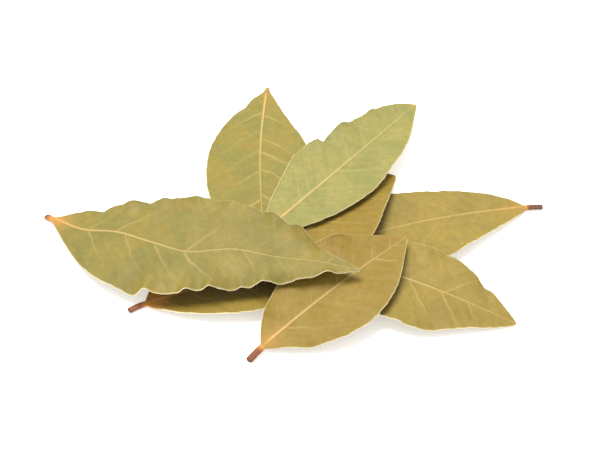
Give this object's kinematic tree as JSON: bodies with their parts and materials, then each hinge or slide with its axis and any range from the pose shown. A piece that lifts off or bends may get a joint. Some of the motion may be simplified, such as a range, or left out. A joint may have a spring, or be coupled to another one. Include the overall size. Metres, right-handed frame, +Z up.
{
  "type": "group of dried bay leaves",
  "caption": "Loose pile of dried bay leaves: thin curved blades with a raised midrib and a short stalk, the longest one with crimped margins lying on top.",
  "frame": {"origin": "centre of the pile's box in plan, on the plane that the pile lies on", "axes": "+Z up; +X along the pile's longest extent, towards the tips of the upper leaves; -Y towards the leaf whose stalk points to the front"},
  "size_m": [0.143, 0.1115, 0.0154],
  "materials": {
    "dried_leaf_olive": "matte, faintly waxy dried leaf",
    "dried_leaf_ochre": "matte, faintly waxy dried leaf",
    "dried_leaf_pale_green": "matte, faintly waxy dried leaf",
    "dried_leaf_grey_green": "matte, faintly waxy dried leaf"
  },
  "bodies": {
    "root": {"leaf_tucked": "dried_leaf_olive", "leaf_right_back": "dried_leaf_ochre", "leaf_right_front": "dried_leaf_ochre", "leaf_back": "dried_leaf_olive", "leaf_under_pale": "dried_leaf_ochre", "leaf_front": "dried_leaf_ochre", "leaf_pale": "dried_leaf_pale_green", "leaf_long_wavy": "dried_leaf_grey_green"}
  },
  "joints": []
}
